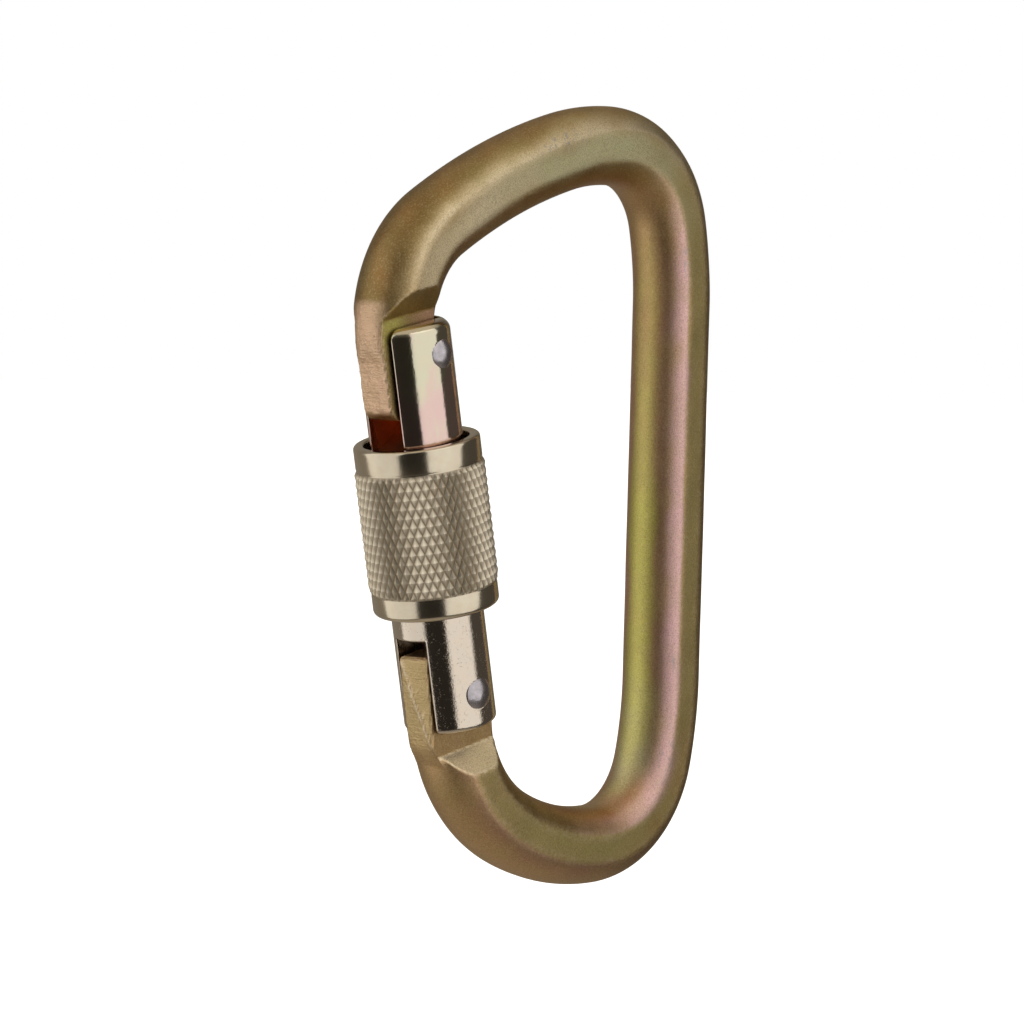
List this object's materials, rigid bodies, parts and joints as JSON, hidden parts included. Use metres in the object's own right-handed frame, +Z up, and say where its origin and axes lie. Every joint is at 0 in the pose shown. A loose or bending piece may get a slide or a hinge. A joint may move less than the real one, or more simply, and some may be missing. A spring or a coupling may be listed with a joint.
{
  "type": "locking carabiner",
  "caption": "Offset-D steel screw-gate carabiner with a sprung pin-latch gate and a knurled locking sleeve that screws up over the nose.",
  "frame": {"origin": "load point: the highest point of the inside of the top basket, where a rope or bolt bears, at mid thickness", "axes": "+Z up along the spine towards the nose end, +X from the gate towards the spine, Y across the thickness"},
  "size_m": [0.0681, 0.018, 0.1121],
  "materials": {
    "zinc_chromate_steel": "satin yellow zinc chromate over forged steel",
    "gate_steel": "glossy zinc plate",
    "sleeve_nickel": "bright plate, diamond knurl",
    "ring_rubber": "matt",
    "rivet_steel": "plain steel, peened domes",
    "rod_steel": "turned",
    "spring_steel": "drawn wire"
  },
  "bodies": {
    "frame": {"body": "zinc_chromate_steel"},
    "gate_assembly": {"gate": "gate_steel", "hinge_rivet": "rivet_steel", "latch_rivet": "rivet_steel", "gate_spring": "spring_steel"},
    "push_rod_slider": {"push_rod": "rod_steel"},
    "drag_ring": {"sleeve_drag_ring": "ring_rubber"},
    "sleeve": {"locking_sleeve": "sleeve_nickel"}
  },
  "joints": [
    {"name": "gate_hinge", "type": "hinge", "parent": "frame", "child": "gate_assembly", "pos_m": [-0.0299, 0, -0.07055], "axis": [0, 1, 0], "range_deg": [0, 26], "stiffness_Nm_per_rad": 0.31, "springref_deg": -53.86},
    {"name": "push_rod_slide", "type": "slide", "parent": "gate_assembly", "child": "push_rod_slider", "axis": [-0.2011, 0, 0.9796], "range_m": [0, 0.00092], "deforming": ["gate_spring"]},
    {"name": "sleeve_travel", "type": "slide", "parent": "gate_assembly", "child": "drag_ring", "axis": [-0.2011, 0, 0.9796], "range_m": [0, 0.015]},
    {"name": "sleeve_turn", "type": "hinge", "parent": "drag_ring", "child": "sleeve", "pos_m": [-0.03463, 0, -0.04753], "axis": [-0.2011, 0, 0.9796], "range_deg": [0, 2160]}
  ],
  "couplings": [
    {"joint": "push_rod_slide", "follows": "gate_hinge", "m_per_rad": 0.002},
    {"joint": "sleeve_travel", "follows": "sleeve_turn", "m_per_rad": 0.00039788}
  ]
}
